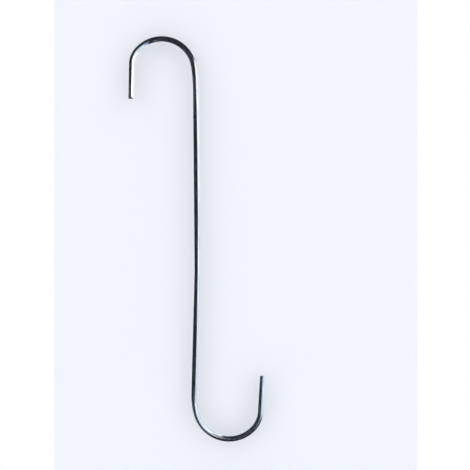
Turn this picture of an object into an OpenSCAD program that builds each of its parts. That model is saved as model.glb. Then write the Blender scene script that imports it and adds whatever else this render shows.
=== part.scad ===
// Long S hook, bent from one length of round wire.
//
// The hook hangs in the XZ plane: Z is up, X runs across the crooks and Y is the thickness of the
// wire. The origin is the rail seat, the highest point on the inside of the top crook.
// The top crook opens to the left and the bottom crook to the right. From the rail seat the wire
// is followed both ways as a chain of straights and bends, each of which starts square to the end
// of the one before it. A bend's radius is that of the mandrel, on the inside of the bend.

/* [Wire] */
// Diameter of the round wire
wire_d = 4; // [3:0.1:5]
// Radius left on the rim of each cut end when it is deburred
end_round = 0.5; // [0.2:0.1:1]

/* [Top crook] */
// Straight arm, from the shoulder to the cut end
top_arm_len = 26; // [12:0.5:40]
// Inside radius of the shoulder, the tighter bend between the arm and the crown
top_shoulder_r = 13; // [10:0.5:18]
// Angle through which the shoulder turns
top_shoulder_turn = 36; // [24:1:48]
// Inside radius of the crown, which sits on the rail
top_crown_r = 22; // [16:0.5:30]
// Angle of the crown from the rail seat to the shoulder
top_crown_arm_turn = 53; // [44:1:62]
// Angle of the crown from the rail seat to the shank
top_crown_shank_turn = 81.5; // [76:0.5:86]

/* [Shank] */
// Inside radius of the easing, the long bend that runs the crown out into the shank
easing_r = 130; // [80:5:200]
// Angle through which the easing turns
easing_turn = 8; // [4:0.5:12]
// Straight length above the set
upper_shank_len = 132; // [60:1:240]
// Inside radius of the set, the slight bend that the shank took when the crooks were formed
set_r = 60; // [40:5:200]
// Angle through which the set turns
set_turn = 2; // [1:0.5:5]
// Straight length below the set
lower_shank_len = 90; // [40:1:200]

/* [Bottom crook] */
// Inside radius of the lead-in, the easy bend between the shank and the crown
lead_in_r = 48; // [30:1:80]
// Angle through which the lead-in turns
lead_in_turn = 17; // [8:1:30]
// Inside radius of the crown, which carries the load
bottom_crown_r = 23; // [16:0.5:32]
// Angle through which the crown turns
bottom_crown_turn = 117; // [100:1:130]
// Inside radius of the shoulder, the tighter bend between the crown and the arm
bottom_shoulder_r = 18; // [12:0.5:26]
// Angle through which the shoulder turns
bottom_shoulder_turn = 44; // [34:1:56]
// Straight arm, from the shoulder to the cut end
bottom_arm_len = 26.5; // [12:0.5:40]

/* [Hidden] */
$fn = 64;
wire_r = wire_d / 2;
// The sides that a bend can turn to, seen along the wire with Y pointing away
LEFT = -1;
RIGHT = 1;
// Share of a bend that is drawn from each of its ends, so that the two runs overlap
DRAWN_SHARE = 0.6;

// A run of wire along a circle of radius r, which starts at the current point, heading along Z
module arc(r, turn, side) {
    translate([side * r, 0, 0]) rotate([90, 0, 0])
        rotate_extrude(angle = -side * turn, start = side == RIGHT ? 180 : 0)
            translate([r, 0]) circle(d = wire_d);
}

// Moves the current point along that circle, with its heading
module along_arc(r, turn, side) {
    translate([side * r, 0, 0]) rotate([0, side * turn, 0]) translate([-side * r, 0, 0]) children();
}

// The last part of a bend, drawn back from its far end, and all that follows it
module bend_end(r, drawn, side) {
    rotate([180, 0, 0]) arc(r, drawn, side);
    children();
}

// A bend, and all that follows it.
// It is drawn from both of its ends, so that each is exactly square to the length that it meets.
module bend(inside_r, turn, side) {
    r = inside_r + wire_r;
    drawn = turn * DRAWN_SHARE;
    arc(r, drawn, side);
    along_arc(r, turn, side) bend_end(r, drawn, side) children();
}

// A straight length, and all that follows it
module straight(len) {
    cylinder(d = wire_d, h = len);
    translate([0, 0, len]) children();
}

// The straight of an arm, with its cut end
module arm(len) {
    rotate_extrude() {
        square([wire_r, len - end_round]);
        square([wire_r - end_round, len]);
        translate([wire_r - end_round, len - end_round]) intersection() {
            circle(r = end_round);
            square(end_round);
        }
    }
}

// The side of the top crown that lies turn degrees from the rail seat, and all that follows it.
// Each side is drawn back from its end, past the rail seat, so that the two overlap.
module crown_side(turn, side) {
    r = top_crown_r + wire_r;
    drawn = (top_crown_arm_turn + top_crown_shank_turn) * DRAWN_SHARE;
    rotate([0, side * 90, 0]) along_arc(r, turn, side) bend_end(r, drawn, side) children();
}

// From the top crown to the cut end of the top arm
module top_arm_side() {
    crown_side(top_crown_arm_turn, LEFT)
        bend(top_shoulder_r, top_shoulder_turn, LEFT)
        arm(top_arm_len);
}

// From the top crown down the shank and round the bottom crook
module shank_side() {
    crown_side(top_crown_shank_turn, RIGHT)
        bend(easing_r, easing_turn, RIGHT)
        straight(upper_shank_len)
        bend(set_r, set_turn, RIGHT)
        straight(lower_shank_len)
        bend(lead_in_r, lead_in_turn, LEFT)
        bend(bottom_crown_r, bottom_crown_turn, LEFT)
        bend(bottom_shoulder_r, bottom_shoulder_turn, LEFT)
        arm(bottom_arm_len);
}

module hook() {
    color("silver") translate([0, 0, wire_r]) {
        top_arm_side();
        shank_side();
    }
}

hook();
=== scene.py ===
import math

import bmesh
import bpy
from mathutils import Matrix, Vector


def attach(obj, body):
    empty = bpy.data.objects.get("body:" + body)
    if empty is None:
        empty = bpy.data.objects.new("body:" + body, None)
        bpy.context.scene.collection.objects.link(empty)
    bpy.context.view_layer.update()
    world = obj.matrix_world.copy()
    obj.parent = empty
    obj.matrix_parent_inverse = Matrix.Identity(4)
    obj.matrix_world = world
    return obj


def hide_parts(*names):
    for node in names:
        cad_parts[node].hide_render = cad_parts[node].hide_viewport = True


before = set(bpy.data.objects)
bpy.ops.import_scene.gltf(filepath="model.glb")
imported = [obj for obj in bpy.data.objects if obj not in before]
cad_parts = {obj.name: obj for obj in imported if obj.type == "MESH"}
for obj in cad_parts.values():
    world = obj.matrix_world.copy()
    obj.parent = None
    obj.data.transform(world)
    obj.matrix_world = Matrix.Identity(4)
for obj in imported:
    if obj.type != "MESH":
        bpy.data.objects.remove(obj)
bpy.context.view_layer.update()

# A long S hook, bent from one length of bright plated steel wire.
# All lengths are in metres. The hook hangs in the XZ plane, Z up, with its rail seat at the origin.

# ---- Wire ----
WIRE_RADIUS = 0.002
END_ROUND = 0.0005
LEFT, RIGHT = -1, 1

# ---- Top crook, from the rail seat to the cut end of its arm ----
TOP_CROWN_R = 0.022
TOP_CROWN_ARM_TURN = 53
TOP_SHOULDER_R = 0.013
TOP_SHOULDER_TURN = 36
TOP_ARM_LEN = 0.026

# ---- Shank, from the rail seat down ----
TOP_CROWN_SHANK_TURN = 81.5
EASING_R = 0.130
EASING_TURN = 8
UPPER_SHANK_LEN = 0.132
SET_R = 0.060
SET_TURN = 2
LOWER_SHANK_LEN = 0.090

# ---- Bottom crook, from the shank to the cut end of its arm ----
LEAD_IN_R = 0.048
LEAD_IN_TURN = 17
BOTTOM_CROWN_R = 0.023
BOTTOM_CROWN_TURN = 117
BOTTOM_SHOULDER_R = 0.018
BOTTOM_SHOULDER_TURN = 44
BOTTOM_ARM_LEN = 0.0265

# ---- Mesh of the wire ----
SIDES = 48
RING_STEP = 0.0006
ROUND_STEPS = 6
FACE_RINGS = 5
# Length at each cut end that is left to the end's own rings
END_REACH = 0.00075
# How many rings a bend's rub spreads to on either side
RUB_REACH = 7

# ---- Flat layout of the wire's surface: upright columns, with the two end faces above them ----
UV_COLUMNS = 6
UV_GAP = 0.006
UV_COLUMN_TOP = 0.93
UV_FACE_RADIUS = 0.025
UV_FACE_CENTRES = ((0.05, 0.965), (0.15, 0.965))

# ---- Drawn lines and cloudy patches, in any metal: detail of the noise, and where in it they show ----
LINE_DETAIL = 2
LINE_SHOWS = (0.32, 0.68)
PATCH_DETAIL = 3
PATCH_SHOWS = (0.36, 0.66)

# ---- Bright plating ----
PLATING_CLEAN = (0.86, 0.885, 0.905)
PLATING_DULL = (0.73, 0.765, 0.81)
PLATING_RUBBED = (0.90, 0.905, 0.91)
# How far a cloud dulls the plating
CLOUD_DULLS = 0.75
# Width and length of a line
DRAWN_LINE = (0.00025, 0.030)
DIE_LINE = (0.0010, 0.110)
PATCH_SIZE = 0.007
# Share of the rub that is there between the drawn lines too
RUB_EVEN = 0.3
# Slanting hairline marks
MARK_WIDTH = 0.00012
MARK_LENGTH = 0.0035
MARK_SLANT = 38
MARK_SHOWS = (0.80, 1.0)
# Roughness where nothing lies on the plating, and what each thing adds
PLATING_ROUGH = 0.07
CLOUD_ROUGH = 0.07
LINE_ROUGH = 0.03
RUB_ROUGH = 0.10
MARK_ROUGH = 0.15
# Height of a drawn line and depth of a mark, as shares of a die line's height
LINE_HEIGHT = 0.25
MARK_DEPTH = 0.3
# Depth of the relief, and how strongly it shows
PLATING_RELIEF = (0.00001, 0.2)

# ---- Cropped steel of the end faces ----
STEEL_SHORN = (0.56, 0.57, 0.58)
STEEL_TORN = (0.36, 0.36, 0.37)
CROP_LINE = (0.00014, 0.0022)
CROP_PATCH_SIZE = 0.0011
# Where across the face the shorn part gives way to the torn part
TORN_FROM = (-0.0002, 0.0005)
# Share of the tear that is there between the grains too
TORN_EVEN = 0.4
SHORN_ROUGH = 0.26
TORN_ROUGH = 0.22
DRAG_ROUGH = 0.08
# Height of the torn part, against that of a drag line
TORN_HEIGHT = 1.6
CROP_RELIEF = (0.00004, 0.8)

# ---- Picture ----
PICTURE_SIDE = 470
# Length on the hook that a pixel spans, and the pixel at which the rail seat is
PIXEL = 0.00074
SEAT_PIXEL = (161.74, 41.6)
LENS_MM = 85
SENSOR_MM = 36
CAMERA_REACH = 20

# ---- Backdrop and floor ----
PALE = (0.888, 0.913, 0.973)
BACKDROP_Y = 0.0105
BACKDROP_X = (-0.0814, 0.1906)
BACKDROP_Z = (-0.50, 0.20)
FLOOR_Z = -0.90
FLOOR_SIDE = 4.0
FLOOR_PALE = (0.955, 0.965, 0.985)

# ---- Light that falls on the matt surfaces ----
LIGHT_LEVEL = 1.215
# Share of the level that comes from the middle
LIGHT_MIDDLE = 0.66
# How far aside the light rises to its level, and how far aside it is cut off
MIDDLE_EDGE = (0.0, 0.45)
SIDE_CUT = (0.78, 0.95)

# ---- Dark room, seen only in the metal, where its dim glow paints the wire's dark reflection: where its walls are, and their two colours ----
ROOM_X = (-0.8, 0.8)
ROOM_Y = (-1.2, 0.9)
ROOM_Z = (-0.8, 0.7)
# Two colours of the walls' painted glow, which the wire shows as its dark reflection
REFLECTED_DARK = (0.011, 0.016, 0.021)
REFLECTED_LESS_DARK = (0.024, 0.031, 0.038)
# Patches to a metre, the detail of their noise, and where in it they show
ROOM_PATCHES = 4
ROOM_DETAIL = 3
ROOM_SHOWS = (0.35, 0.65)

# ---- Light bank to the right of the hook: slats one above another, and on behind the hook ----
BANK_X = 0.137
BANK_TOP = 0.0621
SLAT_HEIGHT = 0.0151
# How far each slat reaches towards the front, from the top down
SLAT_FRONTS = [
    -0.085, -0.085, -0.115, -0.160, -0.200, -0.160, -0.130, -0.105,
    -0.085, -0.081, -0.081, -0.081, -0.081, -0.110, -0.160, -0.250,
    -0.250, -0.160, -0.120, -0.084, -0.084, -0.084, -0.084, -0.084,
]
BANK_FOOT = BANK_TOP - SLAT_HEIGHT * len(SLAT_FRONTS)
SIDE_BACK_Y = 0.045
BANK_BACK_Y = 0.6
BANK_BACK_LEFT = -0.12
BANK_BACK_TOP = 0.047
BANK_WHITE = (1.10, 1.14, 1.15)
BANK_BLUE = (0.82, 0.97, 1.07)
BANK_BLUE_FROM = (-0.12, -0.29)
BANK_DIM = (0.62, 0.72, 0.86)
BANK_DIM_BELOW = -0.11
# Brightness of the two topmost slats, so that the bank's upper edge is soft
SOFT_TOP = (0.25, 0.75)
# Height and colour of two dim lamps under the lowest slat, so that its lower edge is soft
SOFT_FOOT = {
    "bank_foot_fade": (0.008, (0.37, 0.44, 0.48)),
    "bank_foot_dusk": (0.007, (0.22, 0.26, 0.29)),
}

# ---- Row of lamps across the bottom crook, which fade out to the right ----
CROOK_WHITE = (1.01, 1.065, 1.25)
# Where each of them stands from left to right, and its share of their light
CROOK_LAMPS = (
    (0.0420, 0.30),
    (0.0460, 0.25),
    (0.0505, 0.20),
    (0.0555, 0.12),
    (0.0610, 0.08),
    (0.0690, 0.06),
)
CROOK_LAMP_YZ = (-0.010, -0.313)
CROOK_LAMP_ALONG = (0, -0.45, -0.065)
CROOK_LAMP_UP = (0, -0.0065, 0.045)

# ---- Small lamps: one corner, the side along, the side up, and the colour ----
# The lamps of the top arm and its shoulder all stand here and run forwards like this
TOP_X = -0.009
TOP_ALONG = (0, -0.18, 0.0234)
SMALL_LAMPS = {
    # In front of the bank, near its top
    "bank_upper_finger": ((BANK_X, -0.20, -0.013), (0, -0.26, 0.036), (0, 0.003, 0.020), BANK_WHITE),
    # For the top arm, and dimmer step by step for its shoulder
    "top_arm_lamp": ((TOP_X, -0.0088, -0.042), TOP_ALONG, (0, 0.0036, 0.028), (1.05, 1.10, 1.12)),
    "top_shoulder_lamp": ((TOP_X, -0.0052, -0.014), TOP_ALONG, (0, 0.0009, 0.007), (0.32, 0.43, 0.58)),
    "top_shoulder_dusk": ((TOP_X, -0.0043, -0.007), TOP_ALONG, (0, 0.0009, 0.007), (0.16, 0.22, 0.32)),
    "shoulder_fade": ((TOP_X, -0.0034, 0), TOP_ALONG, (0, 0.0012, 0.010), (0.07, 0.09, 0.14)),
    # For the cut ends
    "tip_lamp": ((-0.035, -0.0117, -0.0455), (0, 0.0075, 0), (0, 0, 0.016), (0.10, 0.12, 0.15)),
    "tip_front_lamp": ((-0.035, -0.030, -0.0455), (0, 0.0183, 0), (0, 0, 0.016), (0.05, 0.06, 0.075)),
    "bottom_tip_lamp": ((0.062, -0.030, -0.257), (0, 0.022, 0), (0, 0, 0.024), (0.03, 0.035, 0.045)),
    # For the outside of the bottom crook, on its left and on its right
    "lead_in_lamp": ((0, -0.05, -0.36), (0, 0.06, 0), (-0.06, 0, 0.08), (0.08, 0.09, 0.11)),
    "shoulder_lamp": ((0.101, 0.007, -0.330), (0, -0.03, 0), (0.018, 0, 0.024), (0.07, 0.09, 0.12)),
    # For the bottom arm
    "bottom_arm_lamp": (
        (0.125, -0.076, -0.3066),
        (-0.0329, 0.0329, -0.0184),
        (-0.0247, 0.0247, 0.0883),
        (0.57, 0.69, 0.92),
    ),
    # For the bottom crook, from below
    "crook_low_lamp": ((0.03, -0.20, -0.375), (-0.06, 0, 0), (0, 0, 0.053), (0.78, 0.82, 0.95)),
}


# ---------------------------------------------------------------- shape of the wire


class Walk:
    """Follows the wire's centre line away from the rail seat, one stretch after another.

    Each place is a point, the heading there, and how the wire bends there: a vector towards the
    bend's centre, of length 1 in the tightest bend and 0 in a straight.
    """

    def __init__(self, heading):
        self.heading = heading
        self.point = Vector((0, 0, WIRE_RADIUS))
        self.places = [(self.point.copy(), heading, Vector((0, 0, -TOP_SHOULDER_R / TOP_CROWN_R)))]

    def straight(self, length):
        steps = math.ceil(length / RING_STEP)
        start = self.point.copy()
        for i in range(1, steps + 1):
            self.point = start + direction(self.heading) * (length * i / steps)
            self.places.append((self.point.copy(), self.heading, Vector((0, 0, 0))))

    def bend(self, inside_r, turn, side):
        r = inside_r + WIRE_RADIUS
        angle = math.radians(turn)
        steps = math.ceil(r * angle / RING_STEP)
        start = self.heading
        centre = self.point + direction(start + side * math.pi / 2) * r
        for i in range(1, steps + 1):
            self.heading = start + side * angle * i / steps
            inwards = direction(self.heading + side * math.pi / 2)
            self.point = centre - inwards * r
            self.places.append((self.point.copy(), self.heading, inwards * (TOP_SHOULDER_R / inside_r)))


def direction(heading):
    """The unit vector of a heading in the XZ plane, counted from straight up to the right."""
    return Vector((math.sin(heading), 0, math.cos(heading)))


def wire_places():
    """The places along the wire, from the cut end of the top arm to that of the bottom arm."""
    arm_side = Walk(-math.pi / 2)
    arm_side.bend(TOP_CROWN_R, TOP_CROWN_ARM_TURN, LEFT)
    arm_side.bend(TOP_SHOULDER_R, TOP_SHOULDER_TURN, LEFT)
    arm_side.straight(TOP_ARM_LEN)
    shank_side = Walk(math.pi / 2)
    shank_side.bend(TOP_CROWN_R, TOP_CROWN_SHANK_TURN, RIGHT)
    shank_side.bend(EASING_R, EASING_TURN, RIGHT)
    shank_side.straight(UPPER_SHANK_LEN)
    shank_side.bend(SET_R, SET_TURN, RIGHT)
    shank_side.straight(LOWER_SHANK_LEN)
    shank_side.bend(LEAD_IN_R, LEAD_IN_TURN, LEFT)
    shank_side.bend(BOTTOM_CROWN_R, BOTTOM_CROWN_TURN, LEFT)
    shank_side.bend(BOTTOM_SHOULDER_R, BOTTOM_SHOULDER_TURN, LEFT)
    shank_side.straight(BOTTOM_ARM_LEN)
    back = [(point, heading + math.pi, inwards) for point, heading, inwards in reversed(arm_side.places)]
    return back[:-1] + shank_side.places


def measured(places):
    """The places, each with the length of wire up to it."""
    along = 0.0
    last = places[0][0]
    for point, heading, inwards in places:
        along += (point - last).length
        last = point
        yield point, heading, inwards, along


def eased(places):
    """The places with their bending spread a little way along the wire."""
    none = Vector((0, 0, 0))
    for i, (point, heading, _) in enumerate(places):
        near = [inwards for _, _, inwards in places[max(i - RUB_REACH, 0):i + RUB_REACH + 1]]
        yield point, heading, sum(near, none) / len(near)


class Ring:
    """One ring of the wire's mesh. On an end face it is flat, and face says which face that is."""

    def __init__(self, centre, heading, inwards, radius, along, face=None):
        self.centre = centre
        self.heading = heading
        self.inwards = inwards
        self.radius = radius
        self.along = along
        self.face = face


def end_rings(place, along, outwards, face):
    """The rings of a cut end, from the middle of its face out over the rounded rim."""
    point, heading, inwards = place
    flat = WIRE_RADIUS - END_ROUND
    rings = []
    for i in range(1, FACE_RINGS):
        rings.append(Ring(point, heading, inwards, flat * i / FACE_RINGS, along, face))
    for i in range(ROUND_STEPS + 1):
        a = math.pi / 2 * i / ROUND_STEPS
        inset = END_ROUND * (1 - math.cos(a)) * outwards
        centre = point - direction(heading) * inset
        radius = flat + END_ROUND * math.sin(a)
        rings.append(Ring(centre, heading, inwards, radius, along - inset))
    return rings


def wire_rings():
    """Every ring of the wire, and the wire's length."""
    places = list(eased(wire_places()))
    middle = list(measured(places))
    total = middle[-1][3]
    rings = end_rings(places[0], 0.0, -1, 0)
    for point, heading, inwards, along in middle:
        if END_REACH < along < total - END_REACH:
            rings.append(Ring(point, heading, inwards, WIRE_RADIUS, along))
    rings += reversed(end_rings(places[-1], total, 1, 1))
    return rings, total


def ring_verts(bm, ring, straight_place, rubbed):
    """The vertices of a ring, with their place on the straight wire and how far a bend rubbed them."""
    across = Vector((math.cos(ring.heading), 0, -math.sin(ring.heading)))
    verts = []
    for k in range(SIDES):
        a = 2 * math.pi * k / SIDES
        out = across * math.cos(a) + Vector((0, 1, 0)) * math.sin(a)
        vert = bm.verts.new(ring.centre + out * ring.radius)
        vert[straight_place] = Vector((math.cos(a) * ring.radius, math.sin(a) * ring.radius, ring.along))
        vert[rubbed] = max(out.dot(ring.inwards), 0) ** 2
        verts.append(vert)
    return verts


def face_uv(face, k, radius):
    """Where a point of an end face lies in the flat layout."""
    a = 2 * math.pi * k / SIDES
    u, v = UV_FACE_CENTRES[face]
    reach = UV_FACE_RADIUS * radius / WIRE_RADIUS
    return u + reach * math.cos(a), v + reach * math.sin(a)


def side_uv(column, k, share):
    """Where a point of the wire's side lies in the flat layout. share is that of the column's height."""
    u = (column + UV_GAP + (1 - 2 * UV_GAP) * k / SIDES) / UV_COLUMNS
    return u, share * UV_COLUMN_TOP


def add_band(bm, uv, low, high, low_row, high_row, length):
    """The faces between two rings. length is the wire's length in one column of the flat layout."""
    face = low.face if low.face is not None else high.face
    column = min(int((low.along + high.along) / 2 / length), UV_COLUMNS - 1)
    for k in range(SIDES):
        n = (k + 1) % SIDES
        quad = bm.faces.new((low_row[k], low_row[n], high_row[n], high_row[k]))
        quad.smooth = True
        quad.material_index = 0 if face is None else 1
        corners = ((low, k), (low, k + 1), (high, k + 1), (high, k))
        for loop, (ring, kk) in zip(quad.loops, corners):
            if face is None:
                loop[uv].uv = side_uv(column, kk, ring.along / length - column)
            else:
                loop[uv].uv = face_uv(face, kk, ring.radius)


def add_middle(bm, uv, straight_place, ring, row):
    """The wedges in the middle of an end face, inside its innermost ring."""
    middle = bm.verts.new(ring.centre)
    middle[straight_place] = Vector((0, 0, ring.along))
    for k in range(SIDES):
        wedge = bm.faces.new((middle, row[k], row[(k + 1) % SIDES]))
        wedge.smooth = True
        wedge.material_index = 1
        for loop, (kk, radius) in zip(wedge.loops, ((k, 0), (k, ring.radius), (k + 1, ring.radius))):
            loop[uv].uv = face_uv(ring.face, kk, radius)


def wire_mesh():
    """The bent wire with its cut ends."""
    rings, total = wire_rings()
    bm = bmesh.new()
    straight_place = bm.verts.layers.float_vector.new("straight_place")
    rubbed = bm.verts.layers.float.new("rubbed")
    uv = bm.loops.layers.uv.new("OFBake")
    rows = [ring_verts(bm, ring, straight_place, rubbed) for ring in rings]
    for low, high, low_row, high_row in zip(rings, rings[1:], rows, rows[1:]):
        add_band(bm, uv, low, high, low_row, high_row, total / UV_COLUMNS)
    add_middle(bm, uv, straight_place, rings[0], rows[0])
    add_middle(bm, uv, straight_place, rings[-1], rows[-1])
    bmesh.ops.recalc_face_normals(bm, faces=bm.faces)
    mesh = bpy.data.meshes.new("hook_wire")
    bm.to_mesh(mesh)
    bm.free()
    return mesh


# ---------------------------------------------------------------- nodes


def plain_material(name):
    mat = bpy.data.materials.new(name)
    mat.use_nodes = True
    mat.node_tree.nodes.clear()
    return mat, mat.node_tree.nodes, mat.node_tree.links


def feed(links, socket, value):
    """Gives a socket a number, a colour or another socket."""
    if isinstance(value, bpy.types.NodeSocket):
        links.new(value, socket)
    elif socket.type == "RGBA":
        socket.default_value = (*value, 1)
    else:
        socket.default_value = value


def maths(nodes, links, operation, *values):
    """The output of a Math node. Each value is a socket or a number."""
    node = nodes.new("ShaderNodeMath")
    node.operation = operation
    for socket, value in zip(node.inputs, values):
        feed(links, socket, value)
    return node.outputs["Value"]


def ramp(nodes, links, value, given, wanted):
    """Takes value smoothly from the first range to the second, and holds it at their ends."""
    node = nodes.new("ShaderNodeMapRange")
    node.interpolation_type = "SMOOTHSTEP"
    links.new(value, node.inputs["Value"])
    for name, number in zip(("From Min", "From Max", "To Min", "To Max"), (*given, *wanted)):
        feed(links, node.inputs[name], number)
    return node.outputs["Result"]


def mixed(nodes, links, share, a, b):
    """Colour a with that share of colour b. Each is a socket or a colour."""
    node = nodes.new("ShaderNodeMix")
    node.data_type = "RGBA"
    links.new(share, node.inputs["Factor"])
    colours = [socket for socket in node.inputs if socket.type == "RGBA"]
    feed(links, colours[0], a)
    feed(links, colours[1], b)
    return [socket for socket in node.outputs if socket.type == "RGBA"][0]


def scaled(nodes, links, place, x, y, z):
    """place divided by a size along each axis. Each size is a socket or a number."""
    sizes = nodes.new("ShaderNodeCombineXYZ")
    for socket, size in zip(sizes.inputs, (x, y, z)):
        feed(links, socket, size)
    node = nodes.new("ShaderNodeVectorMath")
    node.operation = "DIVIDE"
    links.new(place, node.inputs[0])
    links.new(sizes.outputs["Vector"], node.inputs[1])
    return node.outputs["Vector"]


def noise(nodes, links, place, detail):
    node = nodes.new("ShaderNodeTexNoise")
    node.inputs["Scale"].default_value = 1
    node.inputs["Detail"].default_value = detail
    links.new(place, node.inputs["Vector"])
    return node.outputs["Fac"]


# ---------------------------------------------------------------- effects that the metals share


def new_group(name, inputs, output):
    """An empty node group. inputs maps each socket's name to its type, and output is a number."""
    tree = bpy.data.node_groups.new(name, "ShaderNodeTree")
    for socket, kind in inputs.items():
        tree.interface.new_socket(name=socket, in_out="INPUT", socket_type=kind)
    tree.interface.new_socket(name=output, in_out="OUTPUT", socket_type="NodeSocketFloat")
    given = tree.nodes.new("NodeGroupInput")
    result = tree.nodes.new("NodeGroupOutput")
    return tree, given.outputs, result.inputs[output]


def fine_lines_group():
    """Fine lines along Z, as a die or a shear blade draws them."""
    sockets = {"Place": "NodeSocketVector", "Width": "NodeSocketFloat", "Length": "NodeSocketFloat"}
    tree, given, result = new_group("fine_lines", sockets, "Lines")
    nodes, links = tree.nodes, tree.links
    place = scaled(nodes, links, given["Place"], given["Width"], given["Width"], given["Length"])
    links.new(ramp(nodes, links, noise(nodes, links, place, LINE_DETAIL), LINE_SHOWS, (0, 1)), result)
    return tree


def soft_patches_group():
    """Cloudy patches, as in plating or on broken steel."""
    sockets = {"Place": "NodeSocketVector", "Size": "NodeSocketFloat"}
    tree, given, result = new_group("soft_patches", sockets, "Patches")
    nodes, links = tree.nodes, tree.links
    place = scaled(nodes, links, given["Place"], given["Size"], given["Size"], given["Size"])
    links.new(ramp(nodes, links, noise(nodes, links, place, PATCH_DETAIL), PATCH_SHOWS, (0, 1)), result)
    return tree


def effect(nodes, links, tree, **values):
    """Places a group in a material with its own values."""
    node = nodes.new("ShaderNodeGroup")
    node.node_tree = tree
    for name, value in values.items():
        feed(links, node.inputs[name], value)
    return node.outputs[0]


# ---------------------------------------------------------------- metals


def wire_place(nodes):
    """Where a point was on the wire before it was bent: X and Y across it, Z along it."""
    node = nodes.new("ShaderNodeAttribute")
    node.attribute_name = "straight_place"
    return node.outputs["Vector"]


def slanting_marks(nodes, links, lines, place):
    """Short hairline scratches across the drawn lines, few and far between."""
    turn = nodes.new("ShaderNodeVectorRotate")
    turn.rotation_type = "X_AXIS"
    turn.inputs["Angle"].default_value = math.radians(MARK_SLANT)
    links.new(place, turn.inputs["Vector"])
    turned = turn.outputs["Vector"]
    slanted = effect(nodes, links, lines, Place=turned, Width=MARK_WIDTH, Length=MARK_LENGTH)
    return ramp(nodes, links, slanted, MARK_SHOWS, (0, 1))


def bumped(nodes, links, height, depth, strength):
    node = nodes.new("ShaderNodeBump")
    node.inputs["Distance"].default_value = depth
    node.inputs["Strength"].default_value = strength
    links.new(height, node.inputs["Height"])
    return node.outputs["Normal"]


def metal_surface(nodes, links, colour, roughness, normal):
    out = nodes.new("ShaderNodeOutputMaterial")
    metal = nodes.new("ShaderNodeBsdfPrincipled")
    metal.inputs["Metallic"].default_value = 1
    links.new(colour, metal.inputs["Base Color"])
    links.new(roughness, metal.inputs["Roughness"])
    links.new(normal, metal.inputs["Normal"])
    links.new(metal.outputs["BSDF"], out.inputs["Surface"])


def bright_wire(lines, patches):
    """Bright plating over drawn wire, a little cloudy, and rubbed on the inside of the bends."""
    mat, nodes, links = plain_material("bright_wire")
    place = wire_place(nodes)
    drawn = effect(nodes, links, lines, Place=place, Width=DRAWN_LINE[0], Length=DRAWN_LINE[1])
    die = effect(nodes, links, lines, Place=place, Width=DIE_LINE[0], Length=DIE_LINE[1])
    cloud = effect(nodes, links, patches, Place=place, Size=PATCH_SIZE)
    marks = slanting_marks(nodes, links, lines, place)
    bend = nodes.new("ShaderNodeAttribute")
    bend.attribute_name = "rubbed"
    fine = maths(nodes, links, "MULTIPLY_ADD", drawn, 1 - RUB_EVEN, RUB_EVEN)
    rub = maths(nodes, links, "MULTIPLY", bend.outputs["Fac"], fine)

    dull = maths(nodes, links, "MULTIPLY", cloud, CLOUD_DULLS)
    colour = mixed(nodes, links, dull, PLATING_CLEAN, PLATING_DULL)
    colour = mixed(nodes, links, rub, colour, PLATING_RUBBED)

    rough = maths(nodes, links, "MULTIPLY_ADD", cloud, CLOUD_ROUGH, PLATING_ROUGH)
    rough = maths(nodes, links, "MULTIPLY_ADD", drawn, LINE_ROUGH, rough)
    rough = maths(nodes, links, "MULTIPLY_ADD", rub, RUB_ROUGH, rough)
    rough = maths(nodes, links, "MULTIPLY_ADD", marks, MARK_ROUGH, rough)

    height = maths(nodes, links, "MULTIPLY_ADD", drawn, LINE_HEIGHT, die)
    height = maths(nodes, links, "MULTIPLY_ADD", marks, -MARK_DEPTH, height)
    metal_surface(nodes, links, colour, rough, bumped(nodes, links, height, *PLATING_RELIEF))
    return mat


def cropped_end(lines, patches):
    """A sheared end: smooth where the blade cut, and grainy where the wire then broke."""
    mat, nodes, links = plain_material("cropped_end")
    place = wire_place(nodes)
    split = nodes.new("ShaderNodeSeparateXYZ")
    links.new(place, split.inputs["Vector"])
    turned = nodes.new("ShaderNodeCombineXYZ")
    for name, source in (("X", "Y"), ("Y", "Z"), ("Z", "X")):
        links.new(split.outputs[source], turned.inputs[name])
    across = turned.outputs["Vector"]
    drag = effect(nodes, links, lines, Place=across, Width=CROP_LINE[0], Length=CROP_LINE[1])
    grain = effect(nodes, links, patches, Place=place, Size=CROP_PATCH_SIZE)
    torn = ramp(nodes, links, split.outputs["X"], TORN_FROM, (0, 1))

    share = maths(nodes, links, "MULTIPLY", torn, maths(nodes, links, "ADD", grain, TORN_EVEN))
    colour = mixed(nodes, links, share, STEEL_SHORN, STEEL_TORN)
    rough = maths(nodes, links, "MULTIPLY_ADD", share, TORN_ROUGH, SHORN_ROUGH)
    rough = maths(nodes, links, "MULTIPLY_ADD", drag, DRAG_ROUGH, rough)
    height = maths(nodes, links, "MULTIPLY_ADD", share, TORN_HEIGHT, drag)
    metal_surface(nodes, links, colour, rough, bumped(nodes, links, height, *CROP_RELIEF))
    return mat


# ---------------------------------------------------------------- stage materials


def pale_sheet(name, colour, see_through_back):
    """Matt pale paper. Where see_through_back is set, it hides nothing from behind."""
    mat, nodes, links = plain_material(name)
    out = nodes.new("ShaderNodeOutputMaterial")
    paper = nodes.new("ShaderNodeBsdfDiffuse")
    feed(links, paper.inputs["Color"], colour)
    if see_through_back:
        clear = nodes.new("ShaderNodeBsdfTransparent")
        mix = nodes.new("ShaderNodeMixShader")
        side = nodes.new("ShaderNodeNewGeometry")
        links.new(side.outputs["Backfacing"], mix.inputs["Fac"])
        links.new(paper.outputs["BSDF"], mix.inputs[1])
        links.new(clear.outputs["BSDF"], mix.inputs[2])
        links.new(mix.outputs["Shader"], out.inputs["Surface"])
    else:
        links.new(paper.outputs["BSDF"], out.inputs["Surface"])
    return mat


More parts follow.
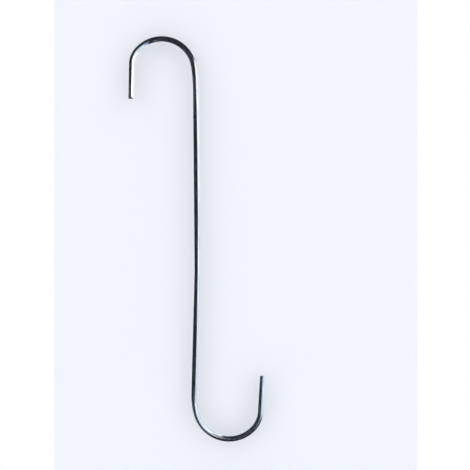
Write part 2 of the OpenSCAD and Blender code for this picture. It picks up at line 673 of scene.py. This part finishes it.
def reflection_glow_wall():
    """A wall with a dim, uneven glow of its own, though it is no lamp: a painted dark reflection, seen
    only in the metal.
    """
    mat, nodes, links = plain_material("reflection_glow_wall")
    mat.cycles.emission_sampling = "NONE"
    out = nodes.new("ShaderNodeOutputMaterial")
    # Painted reflection: this glow is what the wire's gloss shows as its dark side
    glow = nodes.new("ShaderNodeEmission")
    links.new(glow.outputs["Emission"], out.inputs["Surface"])
    place = nodes.new("ShaderNodeTexCoord")
    cloud = nodes.new("ShaderNodeTexNoise")
    cloud.inputs["Scale"].default_value = ROOM_PATCHES
    cloud.inputs["Detail"].default_value = ROOM_DETAIL
    links.new(place.outputs["Object"], cloud.inputs["Vector"])
    patches = ramp(nodes, links, cloud.outputs["Fac"], ROOM_SHOWS, (0, 1))
    links.new(mixed(nodes, links, patches, REFLECTED_DARK, REFLECTED_LESS_DARK), glow.inputs["Color"])
    return mat


# ---------------------------------------------------------------- stage


def put_on_stage(mesh, material):
    mesh.materials.append(material)
    obj = bpy.data.objects.new(mesh.name, mesh)
    bpy.context.scene.collection.objects.link(obj)
    return obj


def sheet(name, corners, material):
    """A flat sheet of the stage through these corners."""
    mesh = bpy.data.meshes.new(name)
    mesh.from_pydata(corners, [], [range(len(corners))])
    return put_on_stage(mesh, material)


def seen_only_in_metal(obj):
    obj.visible_camera = False
    obj.visible_diffuse = False
    obj.visible_transmission = False
    obj.visible_shadow = False


def make_backdrop():
    left, right = BACKDROP_X
    low, high = BACKDROP_Z
    y = BACKDROP_Y
    corners = [(left, y, low), (right, y, low), (right, y, high), (left, y, high)]
    wall = sheet("backdrop", corners, pale_sheet("backdrop_paper", PALE, True))
    wall.visible_glossy = False
    s = FLOOR_SIDE / 2
    corners = [(-s, -s, FLOOR_Z), (s, -s, FLOOR_Z), (s, s, FLOOR_Z), (-s, s, FLOOR_Z)]
    sheet("floor", corners, pale_sheet("floor_paper", FLOOR_PALE, False))


def make_dark_room():
    """Six dark walls round the hook, floor and ceiling among them, seen only in the metal, where their
    glow paints its dark reflection.
    """
    dark = reflection_glow_wall()
    (x0, x1), (y0, y1), (z0, z1) = ROOM_X, ROOM_Y, ROOM_Z
    walls = {
        "front": [(x0, y0, z0), (x1, y0, z0), (x1, y0, z1), (x0, y0, z1)],
        "back": [(x0, y1, z0), (x1, y1, z0), (x1, y1, z1), (x0, y1, z1)],
        "left": [(x0, y0, z0), (x0, y1, z0), (x0, y1, z1), (x0, y0, z1)],
        "right": [(x1, y0, z0), (x1, y1, z0), (x1, y1, z1), (x1, y0, z1)],
        "top": [(x0, y0, z1), (x1, y0, z1), (x1, y1, z1), (x0, y1, z1)],
        "bottom": [(x0, y0, z0), (x1, y0, z0), (x1, y1, z0), (x0, y1, z0)],
    }
    for side, corners in walls.items():
        seen_only_in_metal(sheet("dark_" + side, corners, dark))


def smooth(low, high, value):
    """0 at low and 1 at high, with a smooth rise between them. low may be the larger."""
    t = min(max((value - low) / (high - low), 0), 1)
    return t * t * (3 - 2 * t)


def lamp(name, corner, along, up, colour):
    """A flat lamp, lit on one side: the side from which along turns to up against the clock."""
    corner, along, up = Vector(corner), Vector(along), Vector(up)
    data = bpy.data.lights.new(name, "AREA")
    data.shape = "RECTANGLE"
    data.size = along.length
    data.size_y = up.length
    brightest = max(colour)
    data.color = [part / brightest for part in colour]
    data.energy = brightest * math.pi * along.length * up.length
    obj = bpy.data.objects.new(name, data)
    bpy.context.scene.collection.objects.link(obj)
    x, y = along.normalized(), -up.normalized()
    turn = Matrix((x, y, x.cross(y))).transposed().to_4x4()
    obj.matrix_world = Matrix.Translation(corner + (along + up) / 2) @ turn
    obj.visible_camera = False
    obj.visible_diffuse = False


def slat_colour(i, height):
    """White at the top of the bank and bluer towards its foot. The topmost slats are dimmer."""
    share = smooth(*BANK_BLUE_FROM, height)
    bright = SOFT_TOP[i] if i < len(SOFT_TOP) else 1
    return [(a + (b - a) * share) * bright for a, b in zip(BANK_WHITE, BANK_BLUE)]


def bank_side(name, front, back, low, high, colour):
    """A lamp of the bank's right side."""
    lamp(name, (BANK_X, back, low), (0, front - back, 0), (0, 0, high - low), colour)


def make_light_bank():
    """The slats with their soft foot, and plain lamps on behind the hook, which are dimmer low down."""
    for i, front in enumerate(SLAT_FRONTS):
        high = BANK_TOP - SLAT_HEIGHT * i
        low = high - SLAT_HEIGHT
        bank_side("slat_%02d" % i, front, SIDE_BACK_Y, low, high, slat_colour(i, (low + high) / 2))
    foot = BANK_FOOT
    for name, (height, colour) in SOFT_FOOT.items():
        bank_side(name, SLAT_FRONTS[-1], SIDE_BACK_Y, foot - height, foot, colour)
        foot -= height
    across = (BANK_X - BANK_BACK_LEFT, 0, 0)
    halves = {
        "upper": (BANK_DIM_BELOW, BANK_BACK_TOP, BANK_WHITE),
        "lower": (BANK_FOOT, BANK_DIM_BELOW, BANK_DIM),
    }
    for name, (low, high, colour) in halves.items():
        bank_side("side_back_" + name, SIDE_BACK_Y, BANK_BACK_Y, low, high, colour)
        lamp("behind_" + name, (BANK_BACK_LEFT, BANK_BACK_Y, low), across, (0, 0, high - low), colour)


def make_small_lamps():
    """They light the arms, the cut ends and the bottom crook, and turn their backs to the shank."""
    for i, (x, share) in enumerate(CROOK_LAMPS):
        colour = [part * share for part in CROOK_WHITE]
        lamp("crook_lamp_%d" % i, (x, *CROOK_LAMP_YZ), CROOK_LAMP_ALONG, CROOK_LAMP_UP, colour)
    for name, (corner, along, up, colour) in SMALL_LAMPS.items():
        lamp(name, corner, along, up, colour)


def world_light(nodes, links):
    """Strength of the light on matt surfaces by direction: less from the middle, none from the sides."""
    place = nodes.new("ShaderNodeTexCoord")
    split = nodes.new("ShaderNodeSeparateXYZ")
    links.new(place.outputs["Generated"], split.inputs["Vector"])
    aside = maths(nodes, links, "ABSOLUTE", split.outputs["X"])
    middle = ramp(nodes, links, aside, MIDDLE_EDGE, (LIGHT_MIDDLE * LIGHT_LEVEL, LIGHT_LEVEL))
    sides = ramp(nodes, links, aside, SIDE_CUT, (1, 0))
    return maths(nodes, links, "MULTIPLY", middle, sides)


def make_world():
    """White to the camera and in gloss and glass. Matt surfaces get the light that world_light gives."""
    world = bpy.data.worlds.new("studio")
    world.use_nodes = True
    nodes, links = world.node_tree.nodes, world.node_tree.links
    sky = nodes["Background"]
    sky.inputs["Color"].default_value = (1, 1, 1, 1)
    rays = nodes.new("ShaderNodeLightPath")
    clear = maths(nodes, links, "MAXIMUM", rays.outputs["Is Camera Ray"], rays.outputs["Is Glossy Ray"])
    clear = maths(nodes, links, "MAXIMUM", clear, rays.outputs["Is Transmission Ray"])
    mix = nodes.new("ShaderNodeMix")
    mix.inputs["B"].default_value = 1
    links.new(clear, mix.inputs["Factor"])
    links.new(world_light(nodes, links), mix.inputs["A"])
    links.new(mix.outputs["Result"], sky.inputs["Strength"])
    bpy.context.scene.world = world


def camera_place():
    """Level with the picture's middle, and so far away that a pixel spans its length on the hook."""
    middle = PICTURE_SIDE / 2
    away = PICTURE_SIDE * PIXEL / 2 / (SENSOR_MM / 2 / LENS_MM)
    return Vector(((middle - SEAT_PIXEL[0]) * PIXEL, -away, -(middle - SEAT_PIXEL[1]) * PIXEL))


def make_camera():
    data = bpy.data.cameras.new("camera")
    data.lens = LENS_MM
    data.sensor_width = SENSOR_MM
    data.clip_end = CAMERA_REACH
    obj = bpy.data.objects.new("camera", data)
    bpy.context.scene.collection.objects.link(obj)
    obj.location = camera_place()
    obj.rotation_euler = (math.pi / 2, 0, 0)
    bpy.context.scene.camera = obj


# ---------------------------------------------------------------- the hook


def make_hook():
    mesh = wire_mesh()
    lines = fine_lines_group()
    patches = soft_patches_group()
    mesh.materials.append(bright_wire(lines, patches))
    mesh.materials.append(cropped_end(lines, patches))
    hook = bpy.data.objects.new("hook_wire", mesh)
    bpy.context.scene.collection.objects.link(hook)
    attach(hook, "root")
    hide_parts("hook")


bpy.context.scene.view_settings.view_transform = "Standard"
make_world()
make_camera()
make_backdrop()
make_dark_room()
make_light_bank()
make_small_lamps()
make_hook()
